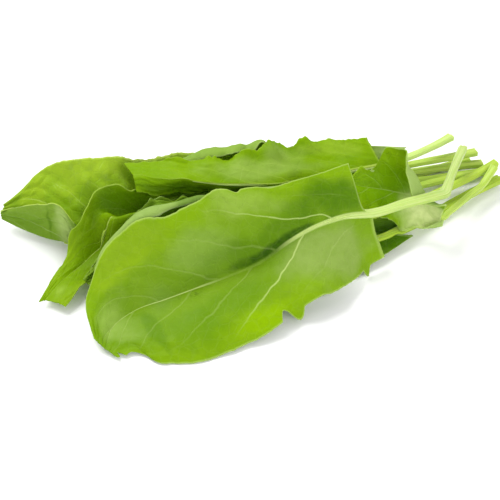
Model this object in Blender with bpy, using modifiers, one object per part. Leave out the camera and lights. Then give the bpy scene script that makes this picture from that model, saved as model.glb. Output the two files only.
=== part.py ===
"""A bunch of fresh sorrel lying on a table: ten leaves piled loosely, tips to the left and stalks to
the right. Each leaf is a thin folded blade (its own node) and a pale stalk that runs on under the
blade as its midrib (its own node). Working lengths are millimetres; the objects are made in metres.
"""
import bmesh
import bpy
import numpy as np

# Driving sizes, millimetres and degrees
BLADE_THICKNESS = 0.8
RIB_GAP = 0.35          # air between a blade and the midrib under it
RIB_REACH = 0.8         # share of the blade's length that the midrib runs under
RIB_TAPER = 0.75        # share of its radius that the midrib loses on the way
REST_GAP = 0.4          # air kept between one leaf and the leaf it lies on
ROWS = 18               # steps along a blade
COLS = 5                # steps from midrib to margin
PETIOLE_POINTS = 9
CENTRE = (4.4, 21.4)    # middle of the pile on the table, taken away from every point

# Height map used to lay the leaves on one another
CELL = 1.5
MAP_CORNER = (-170.0, -110.0)
MAP_CELLS = (240, 180)
REACH_CELLS = 4
SETTLE_ROUNDS = 5

# Half widths of a plain sorrel blade, base to tip, as shares of the widest
OUTLINE = np.array((0.62, 0.80, 0.92, 0.99, 1.0, 0.96, 0.86, 0.66, 0.10))

# One entry per leaf, from the bottom of the pile to the top.
# rib: points along the midrib, base to tip; stalk: points from the cut end to the blade.
# near and far are the half blades on the viewer's side and behind: half widths base to tip,
# fold in degrees above level, extra roll toward the margin, and how far the base lobe sweeps back.
# even turns the cross sections of a strongly bent blade toward one common direction.
LEAVES = (
    dict(name="under", color=(0.20, 0.36, 0.05), radius=2.6,
         stalk=((142, 81, 4), (114, 56, 5), (90, 38, 6)),
         rib=((70, 27, 6), (45, 18, 6), (15, 5, 6), (-15, -6, 6), (-40, -15, 6), (-58, -20, 5)),
         near_width=(11, 14, 18, 22, 26, 26, 22, 15, 3), near=(-12, -8, -6, -6, -4), near_lobe=2,
         far_width=(20, 24, 28, 32, 34, 32, 26, 18, 3), far=(-10, -6, -6, -6, -4), far_lobe=12),
    dict(name="bed", color=(0.22, 0.38, 0.06), radius=2.3,
         stalk=((128, 103, 4), (97, 90, 5), (74, 79, 6)),
         rib=((56, 72, 6), (25, 68, 6), (-10, 62, 6), (-40, 54, 6), (-64, 46, 5)),
         near_width=26 * OUTLINE, near=(-10, -6, -4, -4, -4),
         far_width=28 * OUTLINE, far=(-8, -4, 0, 0, 0)),
    dict(name="left", color=(0.33, 0.52, 0.05), radius=2.3,
         stalk=((135, 98, 4), (98, 87, 8), (60, 73, 11)),
         rib=((30, 62, 10), (-14, 50, 9), (-48, 35, 7), (-72, 26, 6), (-92, 24, 5),
              (-106, 27, 5), (-120, 34, 5), (-135, 43, 6)), even=1.5,
         near_width=(14, 20, 24, 26, 27, 27, 25, 20, 4), near=(0, 5, 30, 80, 86),
         far_width=(16, 22, 33, 40, 43, 46, 45, 38, 9), far=(25, 27, 32, 44, 48), far_lobe=4),
    dict(name="low", color=(0.27, 0.44, 0.03), radius=2.2,
         stalk=((139, 92, 4), (92, 77, 10), (20, 52, 12)),
         rib=((-20, 42, 12), (-47, 34, 10), (-68, 25, 9), (-80, 14, 8), (-88, 4, 6),
              (-97, -8, 5), (-103, -20, 4)),
         near_width=(8, 12, 14, 14, 13, 12, 11, 9, 5), near=(5, 10, 15, 15, 10, 5),
         far_width=(18, 26, 30, 30, 24, 15, 10, 8, 4), far=(50, 54, 58, 50, 25, 5),
         far_roll=(40, 40, 30, 0, 0)),
    dict(name="dark", color=(0.17, 0.32, 0.04), radius=2.2,
         stalk=((140, 87, 8), (92, 68, 11), (50, 50, 11)),
         rib=((20, 38, 9), (-16, 32, 9), (-43, 22, 9), (-62, 10, 8), (-76, -3, 7), (-83, -12, 6)),
         near_width=(16, 18, 20, 20, 19, 17, 14, 9, 2), near=(-5, 0, 0, 0, 0),
         far_width=(16, 18, 20, 20, 18, 15, 12, 8, 2), far=(20, 40, 52, 52, 35)),
    dict(name="back", color=(0.30, 0.45, 0.10), radius=2.3,
         stalk=((131, 101, 9), (110, 92, 12), (80, 80, 12)),
         rib=((60, 74, 10), (30, 72, 11), (0, 68, 11), (-30, 64, 10), (-58, 58, 8)),
         near_width=22 * OUTLINE, near=(-10, -10, -10, -10, -5), power=3,
         far_width=(18, 24, 29, 31, 31, 30, 26, 18, 3), far=(60, 70, 72, 72, 60),
         far_roll=(0, 60, 120, 120, 60)),
    dict(name="upper", color=(0.29, 0.49, 0.02), radius=2.3, wave=2.0, waves=7,
         stalk=((115, 101, 20), (95, 84, 21), (84, 74, 23)),
         rib=((72, 67, 25), (40, 51, 30), (16, 42, 32), (-11, 39, 33), (-37, 41, 34),
              (-62, 45, 33)),
         near_width=20 * OUTLINE, near=(-30, -35, -40, -40, -30),
         far_width=(20, 23, 26, 26, 24, 22, 19, 14, 4), far=(20, 15, 12, 12, 10), far_lobe=0),
    dict(name="rolled", color=(0.30, 0.46, 0.09), radius=2.3,
         stalk=((139, 84, 9), (102, 58, 13), (70, 39, 15)),
         rib=((50, 30, 14), (20, 22, 16), (-10, 11, 14), (-38, -2, 11), (-60, -16, 8),
              (-78, -30, 6)),
         near_width=22 * OUTLINE, near=(-20, -15, -10, -10, -5), power=3,
         far_width=(22, 26, 29, 29, 28, 25, 20, 14, 4), far=(30, 40, 40, 40, 30),
         far_roll=(30, 60, 90, 90, 60)),
    dict(name="curled", color=(0.25, 0.42, 0.05), radius=2.1, power=1.3,
         stalk=((137, 79, 9), (126, 62, 13), (112, 43, 17)),
         rib=((100, 31, 20), (92, 37, 21), (84, 42, 22), (75, 45, 23), (64, 46, 25), (54, 46, 26)),
         near_width=(20, 24, 20, 15, 12, 9, 3), near=(-72, -70, -50, -20, 0), near_lobe=0,
         far_width=(16, 24, 27, 27, 24, 16, 4), far=(75, 80, 75, 60, 40), far_lobe=2,
         far_roll=(90, 90, 40, 0, 0)),
    dict(name="front", color=(0.26, 0.45, 0.04), radius=2.9, wave=1.0, even=1.2,
         stalk=((120, 87, 22), (112, 66, 25), (101, 33, 30), (97, 29, 31), (78, 23, 31)),
         rib=((63, 17, 30), (49, 14, 31), (33, 8, 29), (20, 1, 25), (6, -8, 19), (-8, -12, 14),
              (-25, -18, 11), (-42, -24, 8), (-57, -30, 6), (-67, -39, 4), (-70, -54, 3)),
         near_width=(25, 32, 35, 33, 39, 42, 42, 34, 8), near=(-75, -30, -16, -12, -8), near_lobe=0,
         far_width=(27, 25, 27, 35, 39, 38, 37, 26, 6), far=(55, 50, 48, 45, 25), far_lobe=-14),
)
STALK_COLOR = (0.55, 0.70, 0.22)


def hermite(knots, values, slopes, at):
    """Smooth curve through values at knots, read at the places in at."""
    i = np.clip(np.searchsorted(knots, at, side="right") - 1, 0, len(knots) - 2)
    step = (knots[i + 1] - knots[i]).reshape(-1, *[1] * (values.ndim - 1))
    t = (at - knots[i]).reshape(step.shape) / step
    return ((2 * t**3 - 3 * t**2 + 1) * values[i] + (t**3 - 2 * t**2 + t) * step * slopes[i]
            + (3 * t**2 - 2 * t**3) * values[i + 1] + (t**3 - t**2) * step * slopes[i + 1])


def lengths(points):
    return np.concatenate([[0], np.cumsum(np.linalg.norm(np.diff(points, axis=0), axis=1))])


def curve(points, fractions):
    """Points at fractions of the length of a smooth curve through the given points."""
    p = np.array(points, float)
    knots = lengths(p)
    fine = hermite(knots, p, np.gradient(p, knots, axis=0), np.linspace(0, knots[-1], 600))
    run = lengths(fine)
    want = np.clip(fractions, 0, 1) * run[-1]
    return np.stack([np.interp(want, run, fine[:, k]) for k in range(3)], -1)


def profile(values, s):
    """Values placed evenly from the blade's base to its tip, read smoothly at s."""
    v = np.array(values, float)
    knots = np.linspace(0, 1, len(v))
    return hermite(knots, v, np.gradient(v, knots), s)


def unit(v):
    return v / np.linalg.norm(v, axis=-1, keepdims=True)


def stations(rows=ROWS):
    return 1 - (1 - np.linspace(0, 1, rows + 1)) ** 1.15


def blade_sheet(leaf):
    """Middle surface of a blade before it is laid on the pile: a grid of points, near margin to far."""
    s = stations()
    rib = curve(leaf["rib"], s)
    along = unit(curve(leaf["rib"], s + 1e-3) - curve(leaf["rib"], s - 1e-3))
    side = unit(np.cross(along, (0, 0, 1.0)))
    side = unit(side + leaf.get("even", 0) * side.mean(0))
    up = unit(np.cross(side, along))
    q = np.linspace(0, 1, COLS + 1)
    fine = 6
    mid = (np.arange(COLS * fine) + 0.5) / (COLS * fine)
    halves = []
    for sign, key in ((-1, "near"), (1, "far")):
        width = profile(leaf[key + "_width"], s)[:, None]
        fold = np.radians(profile(leaf[key], s))[:, None]
        roll = np.radians(profile(leaf.get(key + "_roll", (0, 0)), s))[:, None]
        power = leaf.get("power", 2.0)
        angle = fold + roll * mid**power
        path = np.stack([sign * np.cos(angle), np.sin(angle)], -1) * (width / mid.size)[..., None]
        path = np.concatenate([np.zeros_like(path[:, :1]), np.cumsum(path, axis=1)], axis=1)[:, ::fine]
        # margins wave gently across the section
        turns = leaf.get("waves", 5) * s[:, None] + 0.25 * sign
        wave = leaf.get("wave", 1.2) * q**2 * np.sin(2 * np.pi * turns) * np.sin(np.pi * s)[:, None]
        angle = fold + roll * q**power
        x = path[..., 0] - sign * wave * np.sin(angle)
        z = path[..., 1] + wave * np.cos(angle)
        back = leaf.get(key + "_lobe", 6) * (np.clip(1 - s / 0.22, 0, 1) ** 2)[:, None] * q**1.6
        halves.append(rib[:, None] + x[..., None] * side[:, None] + z[..., None] * up[:, None]
                      - back[..., None] * along[:, None])
    return np.concatenate([halves[0][:, ::-1], halves[1][:, 1:]], axis=1)


def sheet_normals(grid):
    """Unit normals at the grid points and the stretch that keeps the blade's thickness at folds."""
    cell = unit(np.cross(grid[1:, 1:] - grid[:-1, :-1], grid[1:, :-1] - grid[:-1, 1:]))
    around = np.stack([np.pad(cell, ((a, 1 - a), (b, 1 - b), (0, 0)), mode="edge")
                       for a in (0, 1) for b in (0, 1)])
    normal = unit(around.sum(0))
    lean = np.clip((around * normal).sum(-1).min(0), 0.45, 1)
    return normal, 1 / lean


def rib_radius(leaf):
    s = stations()
    s = s[s <= RIB_REACH]
    return leaf["radius"] * 0.8 * (1 - RIB_TAPER * s / RIB_REACH)


def stalk_line(leaf, grid, petiole):
    """Centre line and radius of a stalk: the petiole, then the midrib just under the blade."""
    radius = rib_radius(leaf)
    normal, stretch = sheet_normals(grid)
    n = len(radius)
    drop = (radius + RIB_GAP + BLADE_THICKNESS / 2) * np.minimum(stretch[:n, COLS], 2)
    under = grid[:n, COLS] - normal[:n, COLS] * drop[:, None]
    under[:, 2] = np.maximum(under[:, 2], radius)
    t = np.linspace(0, 1, PETIOLE_POINTS)[:-1]
    line = np.concatenate([petiole[:-1], under])
    return line, np.concatenate([leaf["radius"] * (1.15 - 0.35 * np.sqrt(t)), radius])


def petiole_line(leaf, grid):
    line, _ = stalk_line(leaf, grid, np.zeros((1, 3)))
    return curve(np.concatenate([np.array(leaf["stalk"], float), line[:1]]),
                 np.linspace(0, 1, PETIOLE_POINTS))


def disc(n):
    return [(i, j) for i in range(-n, n + 1) for j in range(-n, n + 1) if i * i + j * j <= n * n + 0.5]


def spread(field, n):
    """Largest value within n cells."""
    out = field.copy()
    for i, j in disc(n):
        out = np.maximum(out, np.roll(field, (i, j), (0, 1)))
    return out


def soften(field, n):
    """Weighted mean within n cells."""
    out, total = np.zeros_like(field), 0.0
    for i, j in disc(n):
        weight = 1 - (i * i + j * j) / (n + 1) ** 2
        out += weight * np.roll(field, (i, j), (0, 1))
        total += weight
    return out / total


def cells(points):
    return tuple(((points[..., k] - MAP_CORNER[k]) / CELL).round().astype(int) for k in (0, 1))


def read(field, points):
    """Field value at each point, blended between cells."""
    x, y = ((points[..., k] - MAP_CORNER[k]) / CELL for k in (0, 1))
    i, j = np.floor(x).astype(int), np.floor(y).astype(int)
    u, v = x - i, y - j
    return ((field[i, j] * (1 - u) + field[i + 1, j] * u) * (1 - v)
            + (field[i, j + 1] * (1 - u) + field[i + 1, j + 1] * u) * v)


def tube_samples(line, radius):
    run = lengths(line)
    at = np.arange(0, run[-1], 0.9)
    centre = np.stack([np.interp(at, run, line[:, k]) for k in range(3)], -1)
    r = np.interp(at, run, radius)
    return [(centre + np.stack([r * f * np.cos(a), r * f * np.sin(a), 0 * r], -1),
             r * np.sqrt(1 - f * f))
            for f in (0.0, 0.35, 0.7, 0.97) for a in np.arange(8) * np.pi / 4]


def height_maps(grid, line, radius):
    """Lowest and highest point of a leaf over each cell of the table."""
    low, high = np.full(MAP_CELLS, 1e3), np.full(MAP_CELLS, -1e3)
    a, b, c, d = grid[:-1, :-1], grid[:-1, 1:], grid[1:, 1:], grid[1:, :-1]
    flat = np.abs(unit(np.cross(c - a, b - d))[..., 2])
    half = BLADE_THICKNESS / 2 / np.clip(flat, 0.25, 1)
    patches = []
    for u in np.linspace(0, 1, 7):
        for v in np.linspace(0, 1, 7):
            patches.append((a * (1 - u) * (1 - v) + b * (1 - u) * v + c * u * v + d * u * (1 - v),
                            half))
    for points, reach in patches + tube_samples(line, radius):
        np.minimum.at(low, cells(points), points[..., 2] - reach)
        np.maximum.at(high, cells(points), points[..., 2] + reach)
    return low, high


def room_under(leaf, grid, line, radius):
    """Height that a leaf takes up when it is pressed flat, and that its midrib takes from its blade."""
    low, _ = height_maps(grid, line, radius)
    room = np.where(low < 500, BLADE_THICKNESS + REST_GAP + 0.1, 0.0)
    bead = np.zeros(MAP_CELLS)
    rib = slice(PETIOLE_POINTS - 1, None)
    over = grid[:len(line[rib]), COLS, 2] - line[rib][:, 2] + radius[rib] - BLADE_THICKNESS / 2
    for part, height, field in ((slice(None), 2 * radius + REST_GAP, room), (rib, over, bead)):
        run = lengths(line[part])
        height = np.interp(np.arange(0, run[-1], 0.9), run, height)
        for points, _ in tube_samples(line[part], radius[part]):
            np.maximum.at(field, cells(points), height)
    return room, soften(spread(bead, 2), 1)


def settle(leaves):
    """Lay the leaves on the table and on one another.

    Heights only change by smooth fields over the table, so a leaf keeps its outline and folds.
    Working down, each leaf is pressed under those above it; working up, each is then lifted clear
    of what lies below it.
    """
    pile, below = [], np.zeros(MAP_CELLS)
    for leaf in leaves:
        grid = blade_sheet(leaf)
        petiole = petiole_line(leaf, grid)
        room, bead = room_under(leaf, grid, *stalk_line(leaf, grid, petiole))
        pile.append([leaf, grid, petiole, soften(below, 2), bead])
        below = below + room

    def clamp(item, floor):
        leaf, grid, petiole, _, bead = item
        ground = BLADE_THICKNESS / 2 + read(floor + bead, grid)
        grid[..., 2] = np.maximum(grid[..., 2], ground)
        t = np.linspace(0, 1, PETIOLE_POINTS)
        radius = leaf["radius"] * (1.15 - 0.35 * np.sqrt(t))
        petiole[:, 2] = np.maximum(petiole[:, 2], radius + read(floor, petiole))

    def shift(item, amount):
        item[1][..., 2] += read(amount, item[1])
        item[2][..., 2] += read(amount, item[2])

    def maps(item):
        return height_maps(item[1], *stalk_line(*item[:3]))

    ceiling = np.full(MAP_CELLS, 1e3)
    for item in reversed(pile):
        for turn in range(SETTLE_ROUNDS):
            clamp(item, item[3])
            low, high = maps(item)
            both = (high > -500) & (ceiling < 500)
            excess = np.where(both, high + REST_GAP + spread(-ceiling, 1), 0).clip(0)
            if turn == SETTLE_ROUNDS - 1 or excess.max() < 0.02:
                break
            shift(item, -soften(spread(excess, REACH_CELLS), REACH_CELLS))
        ceiling = np.minimum(ceiling, low)

    top = np.full(MAP_CELLS, -1e3)
    table = np.zeros(MAP_CELLS)
    for item in pile:
        for turn in range(SETTLE_ROUNDS):
            low, high = maps(item)
            both = (low < 500) & (top > -500)
            excess = np.where(both, spread(top, 1) + REST_GAP - low, 0).clip(0)
            if excess.max() < 0.02:
                break
            shift(item, soften(spread(excess, REACH_CELLS), REACH_CELLS))
            clamp(item, table)
        low, high = maps(item)
        top = np.maximum(top, high)
    return pile


def finish(obj, color, roughness):
    """Give an object its own material and put it in the bunch's collection."""
    material = bpy.data.materials.new(obj.name)
    material.use_nodes = True
    shader = material.node_tree.nodes["Principled BSDF"]
    shader.inputs["Base Color"].default_value = (*color, 1)
    shader.inputs["Roughness"].default_value = roughness
    obj.data.materials.append(material)
    bunch.objects.link(obj)


def metres(points):
    return (np.array(points) - (*CENTRE, 0)) * 0.001


def add_blade(leaf, grid):
    """Blade: a flat grid bent to the leaf's middle surface, cut into triangles and thickened."""
    rows, cols = grid.shape[:2]
    sheet = bmesh.new()
    bmesh.ops.create_grid(sheet, x_segments=rows - 1, y_segments=cols - 1, size=1)
    points = metres(grid)
    for vert in sheet.verts:
        i = round((vert.co.x + 1) / 2 * (rows - 1))
        j = round((vert.co.y + 1) / 2 * (cols - 1))
        vert.co = points[i, j]
    bmesh.ops.triangulate(sheet, faces=sheet.faces)
    mesh = bpy.data.meshes.new(leaf["name"] + "_blade")
    sheet.to_mesh(mesh)
    sheet.free()
    blade = bpy.data.objects.new(mesh.name, mesh)
    thick = blade.modifiers.new("Thickness", "SOLIDIFY")
    thick.thickness = BLADE_THICKNESS * 0.001
    thick.offset = 0
    thick.use_even_offset = True
    thick.thickness_clamp = 1.0
    finish(blade, leaf["color"], 0.45)


def add_stalk(leaf, line, radius):
    """Stalk: a round tube along its centre line, thinner toward the tip, with flat cut ends."""
    tube = bpy.data.curves.new(leaf["name"] + "_stalk", "CURVE")
    tube.dimensions = "3D"
    tube.fill_mode = "FULL"
    tube.bevel_depth = 0.001
    tube.bevel_resolution = 2
    tube.use_fill_caps = True
    spline = tube.splines.new("POLY")
    spline.points.add(len(line) - 1)
    for point, place, r in zip(spline.points, metres(line), radius):
        point.co = (*place, 1)
        point.radius = r
    finish(bpy.data.objects.new(tube.name, tube), STALK_COLOR, 0.4)


for obj in list(bpy.data.objects):
    bpy.data.objects.remove(obj, do_unlink=True)

bunch = bpy.data.collections.new("sorrel_bunch")
bpy.context.scene.collection.children.link(bunch)
for leaf, grid, petiole, _, _ in settle(LEAVES):
    add_blade(leaf, grid)
    add_stalk(leaf, *stalk_line(leaf, grid, petiole))
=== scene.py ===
import math

import bpy
import numpy as np
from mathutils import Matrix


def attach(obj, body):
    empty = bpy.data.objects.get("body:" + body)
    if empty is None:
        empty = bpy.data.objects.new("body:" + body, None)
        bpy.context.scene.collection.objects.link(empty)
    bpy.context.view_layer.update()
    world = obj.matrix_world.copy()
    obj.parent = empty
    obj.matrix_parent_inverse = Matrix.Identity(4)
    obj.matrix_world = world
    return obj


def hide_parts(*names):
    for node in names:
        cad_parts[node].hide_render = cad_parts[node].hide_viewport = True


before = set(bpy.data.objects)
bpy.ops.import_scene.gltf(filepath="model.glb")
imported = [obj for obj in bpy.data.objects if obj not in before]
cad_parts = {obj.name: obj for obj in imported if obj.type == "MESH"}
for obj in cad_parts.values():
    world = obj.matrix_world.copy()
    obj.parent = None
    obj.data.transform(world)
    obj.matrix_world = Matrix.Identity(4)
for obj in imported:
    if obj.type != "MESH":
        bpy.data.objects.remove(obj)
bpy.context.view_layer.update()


# How the leaves lie
# Ten fresh sorrel leaves dropped on a table, tips to the left and cut stalks to the right. Each one
# hangs over what is below it and is pressed by what is above, so how high every leaf lies follows
# from all the others. Millimetres and degrees, as in the part's own source.
#
# stalk and rib are points along them. near and far are the slopes of the two halves of the blade,
# from base to tip; roll is how much further each turns toward its margin, and power how late. lobe
# is how far a half reaches back at the base. wave and waves are the height and number of its waves,
# and even draws the sides of a bent blade to one direction.
BLADE_THICKNESS = 0.8
RIB_GAP = 0.35
RIB_REACH = 0.8
RIB_TAPER = 0.75
REST_GAP = 0.4
ROWS = 18
COLS = 5
PETIOLE_POINTS = 9
CENTRE = (4.4, 21.4)
CELL = 1.5
MAP_CORNER = (-170.0, -110.0)
MAP_CELLS = (240, 180)
REACH_CELLS = 4
SETTLE_ROUNDS = 5
EMPTY = 1e3
CLEAR_ENOUGH = 0.02
TUBE_STEP = 0.9
CURVE_STEPS = 600
OUTLINE = np.array((0.62, 0.80, 0.92, 0.99, 1.0, 0.96, 0.86, 0.66, 0.10))

LEAVES = (
    dict(name="under", radius=2.6,
         stalk=((142, 81, 4), (114, 56, 5), (90, 38, 6)),
         rib=((70, 27, 6), (45, 18, 6), (15, 5, 6), (-15, -6, 6), (-40, -15, 6), (-58, -20, 5)),
         near_width=(11, 14, 18, 22, 26, 26, 22, 15, 3), near=(-12, -8, -6, -6, -4), near_lobe=2,
         far_width=(20, 24, 28, 32, 34, 32, 26, 18, 3), far=(-10, -6, -6, -6, -4), far_lobe=12),
    dict(name="bed", radius=2.3,
         stalk=((128, 103, 4), (97, 90, 5), (74, 79, 6)),
         rib=((56, 72, 6), (25, 68, 6), (-10, 62, 6), (-40, 54, 6), (-64, 46, 5)),
         near_width=26 * OUTLINE, near=(-10, -6, -4, -4, -4),
         far_width=28 * OUTLINE, far=(-8, -4, 0, 0, 0)),
    dict(name="left", radius=2.3,
         stalk=((135, 98, 4), (98, 87, 8), (60, 73, 11)),
         rib=((30, 62, 10), (-14, 50, 9), (-48, 35, 7), (-72, 26, 6), (-92, 24, 5),
              (-106, 27, 5), (-120, 34, 5), (-135, 43, 6)), even=1.5,
         near_width=(14, 20, 24, 26, 27, 27, 25, 20, 4), near=(0, 5, 30, 80, 86),
         far_width=(16, 22, 33, 40, 43, 46, 45, 38, 9), far=(25, 27, 32, 44, 48), far_lobe=4),
    dict(name="low", radius=2.2,
         stalk=((139, 92, 4), (92, 77, 10), (20, 52, 12)),
         rib=((-20, 42, 12), (-47, 34, 10), (-68, 25, 9), (-80, 14, 8), (-88, 4, 6),
              (-97, -8, 5), (-103, -20, 4)),
         near_width=(8, 12, 14, 14, 13, 12, 11, 9, 5), near=(5, 10, 15, 15, 10, 5),
         far_width=(18, 26, 30, 30, 24, 15, 10, 8, 4), far=(50, 54, 58, 50, 25, 5),
         far_roll=(40, 40, 30, 0, 0)),
    dict(name="dark", radius=2.2,
         stalk=((140, 87, 8), (92, 68, 11), (50, 50, 11)),
         rib=((20, 38, 9), (-16, 32, 9), (-43, 22, 9), (-62, 10, 8), (-76, -3, 7), (-83, -12, 6)),
         near_width=(16, 18, 20, 20, 19, 17, 14, 9, 2), near=(-5, 0, 0, 0, 0),
         far_width=(16, 18, 20, 20, 18, 15, 12, 8, 2), far=(20, 40, 52, 52, 35)),
    dict(name="back", radius=2.3,
         stalk=((131, 101, 9), (110, 92, 12), (80, 80, 12)),
         rib=((60, 74, 10), (30, 72, 11), (0, 68, 11), (-30, 64, 10), (-58, 58, 8)),
         near_width=22 * OUTLINE, near=(-10, -10, -10, -10, -5), power=3,
         far_width=(18, 24, 29, 31, 31, 30, 26, 18, 3), far=(60, 70, 72, 72, 60),
         far_roll=(0, 60, 120, 120, 60)),
    dict(name="upper", radius=2.3, wave=2.0, waves=7,
         stalk=((115, 101, 20), (95, 84, 21), (84, 74, 23)),
         rib=((72, 67, 25), (40, 51, 30), (16, 42, 32), (-11, 39, 33), (-37, 41, 34),
              (-62, 45, 33)),
         near_width=20 * OUTLINE, near=(-30, -35, -40, -40, -30),
         far_width=(20, 23, 26, 26, 24, 22, 19, 14, 4), far=(20, 15, 12, 12, 10), far_lobe=0),
    dict(name="rolled", radius=2.3,
         stalk=((139, 84, 9), (102, 58, 13), (70, 39, 15)),
         rib=((50, 30, 14), (20, 22, 16), (-10, 11, 14), (-38, -2, 11), (-60, -16, 8),
              (-78, -30, 6)),
         near_width=22 * OUTLINE, near=(-20, -15, -10, -10, -5), power=3,
         far_width=(22, 26, 29, 29, 28, 25, 20, 14, 4), far=(30, 40, 40, 40, 30),
         far_roll=(30, 60, 90, 90, 60)),
    dict(name="curled", radius=2.1, power=1.3,
         stalk=((137, 79, 9), (126, 62, 13), (112, 43, 17)),
         rib=((100, 31, 20), (92, 37, 21), (84, 42, 22), (75, 45, 23), (64, 46, 25), (54, 46, 26)),
         near_width=(20, 24, 20, 15, 12, 9, 3), near=(-72, -70, -50, -20, 0), near_lobe=0,
         far_width=(16, 24, 27, 27, 24, 16, 4), far=(75, 80, 75, 60, 40), far_lobe=2,
         far_roll=(90, 90, 40, 0, 0)),
    dict(name="front", radius=2.9, wave=1.0, even=1.2,
         stalk=((120, 87, 22), (112, 66, 25), (101, 33, 30), (97, 29, 31), (78, 23, 31)),
         rib=((63, 17, 30), (49, 14, 31), (33, 8, 29), (20, 1, 25), (6, -8, 19), (-8, -12, 14),
              (-25, -18, 11), (-42, -24, 8), (-57, -30, 6), (-67, -39, 4), (-70, -54, 3)),
         near_width=(25, 32, 35, 33, 39, 42, 42, 34, 8), near=(-75, -30, -16, -12, -8), near_lobe=0,
         far_width=(27, 25, 27, 35, 39, 38, 37, 26, 6), far=(55, 50, 48, 45, 25), far_lobe=-14),
)


def hermite(knots, values, slopes, at):
    """Smooth curve through values at knots, read at the places in at."""
    i = np.clip(np.searchsorted(knots, at, side="right") - 1, 0, len(knots) - 2)
    step = (knots[i + 1] - knots[i]).reshape(-1, *[1] * (values.ndim - 1))
    t = (at - knots[i]).reshape(step.shape) / step
    return ((2 * t**3 - 3 * t**2 + 1) * values[i] + (t**3 - 2 * t**2 + t) * step * slopes[i]
            + (3 * t**2 - 2 * t**3) * values[i + 1] + (t**3 - t**2) * step * slopes[i + 1])


def lengths(points):
    return np.concatenate([[0], np.cumsum(np.linalg.norm(np.diff(points, axis=0), axis=1))])


def curve(points, fractions):
    """Points at fractions of the length of a smooth curve through the given points."""
    p = np.array(points, float)
    knots = lengths(p)
    fine = hermite(knots, p, np.gradient(p, knots, axis=0), np.linspace(0, knots[-1], CURVE_STEPS))
    run = lengths(fine)
    want = np.clip(fractions, 0, 1) * run[-1]
    return np.stack([np.interp(want, run, fine[:, k]) for k in range(3)], -1)


def profile(values, s):
    """Values placed evenly from the blade's base to its tip, read smoothly at s."""
    v = np.array(values, float)
    knots = np.linspace(0, 1, len(v))
    return hermite(knots, v, np.gradient(v, knots), s)


def unit(v):
    return v / np.linalg.norm(v, axis=-1, keepdims=True)


def lengths_across(points):
    return np.linalg.norm(np.diff(points, axis=1), axis=-1).sum(1)


def stations(rows=ROWS):
    return 1 - (1 - np.linspace(0, 1, rows + 1)) ** 1.15


def blade_sheet(leaf, rows=ROWS, cols=COLS, fine=6, reach=1.0):
    """Middle surface of a blade before it is laid on the pile: a grid of points, near margin to far."""
    s = stations(rows)
    rib = curve(leaf["rib"], s)
    along = unit(curve(leaf["rib"], s + 1e-3) - curve(leaf["rib"], s - 1e-3))
    side = unit(np.cross(along, (0, 0, 1.0)))
    side = unit(side + leaf.get("even", 0) * side.mean(0))
    up = unit(np.cross(side, along))
    q = np.linspace(0, reach, cols + 1)
    mid = (np.arange(cols * fine) + 0.5) / (cols * fine) * reach
    halves = []
    for sign, key in ((-1, "near"), (1, "far")):
        width = profile(leaf[key + "_width"], s)[:, None]
        fold = np.radians(profile(leaf[key], s))[:, None]
        roll = np.radians(profile(leaf.get(key + "_roll", (0, 0)), s))[:, None]
        power = leaf.get(key + "_power", leaf.get("power", 2.0))
        angle = fold + roll * mid**power
        path = np.stack([sign * np.cos(angle), np.sin(angle)], -1)
        path = path * (width * reach / mid.size)[..., None]
        path = np.concatenate([np.zeros_like(path[:, :1]), np.cumsum(path, axis=1)], axis=1)[:, ::fine]
        turns = leaf.get("waves", 5) * s[:, None] + 0.25 * sign
        wave = leaf.get("wave", 1.2) * q**2 * np.sin(2 * np.pi * turns) * np.sin(np.pi * s)[:, None]
        angle = fold + roll * q**power
        x = path[..., 0] - sign * wave * np.sin(angle)
        z = path[..., 1] + wave * np.cos(angle)
        back = leaf.get(key + "_lobe", 6) * (np.clip(1 - s / 0.22, 0, 1) ** 2)[:, None]
        back = back * q ** leaf.get(key + "_turn", 1.6)
        back = back - leaf.get(key + "_tip", 0) * (np.clip(s / 0.25 - 3, 0, 1) ** 2)[:, None] * q
        halves.append(rib[:, None] + x[..., None] * side[:, None] + z[..., None] * up[:, None]
                      - back[..., None] * along[:, None])
    return np.concatenate([halves[0][:, ::-1], halves[1][:, 1:]], axis=1)


def sheet_normals(grid):
    """Unit normals at the grid points and the stretch that keeps the blade's thickness at folds."""
    cell = unit(np.cross(grid[1:, 1:] - grid[:-1, :-1], grid[1:, :-1] - grid[:-1, 1:]))
    around = np.stack([np.pad(cell, ((a, 1 - a), (b, 1 - b), (0, 0)), mode="edge")
                       for a in (0, 1) for b in (0, 1)])
    normal = unit(around.sum(0))
    lean = np.clip((around * normal).sum(-1).min(0), 0.45, 1)
    return normal, 1 / lean


def petiole_radius(leaf):
    return leaf["radius"] * (1.15 - 0.35 * np.sqrt(np.linspace(0, 1, PETIOLE_POINTS)))


def rib_radius(leaf):
    s = stations()
    s = s[s <= RIB_REACH]
    return leaf["radius"] * 0.8 * (1 - RIB_TAPER * s / RIB_REACH)


def stalk_line(leaf, grid, petiole):
    """Centre line and radius of a stalk: the petiole, then the midrib just under the blade."""
    radius = rib_radius(leaf)
    normal, stretch = sheet_normals(grid)
    n = len(radius)
    drop = (radius + RIB_GAP + BLADE_THICKNESS / 2) * np.minimum(stretch[:n, COLS], 2)
    under = grid[:n, COLS] - normal[:n, COLS] * drop[:, None]
    under[:, 2] = np.maximum(under[:, 2], radius)
    line = np.concatenate([petiole[:-1], under])
    return line, np.concatenate([petiole_radius(leaf)[:-1], radius])


def petiole_line(leaf, grid):
    line, _ = stalk_line(leaf, grid, np.zeros((1, 3)))
    return curve(np.concatenate([np.array(leaf["stalk"], float), line[:1]]),
                 np.linspace(0, 1, PETIOLE_POINTS))


def disc(n):
    return [(i, j) for i in range(-n, n + 1) for j in range(-n, n + 1) if i * i + j * j <= n * n + 0.5]


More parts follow.
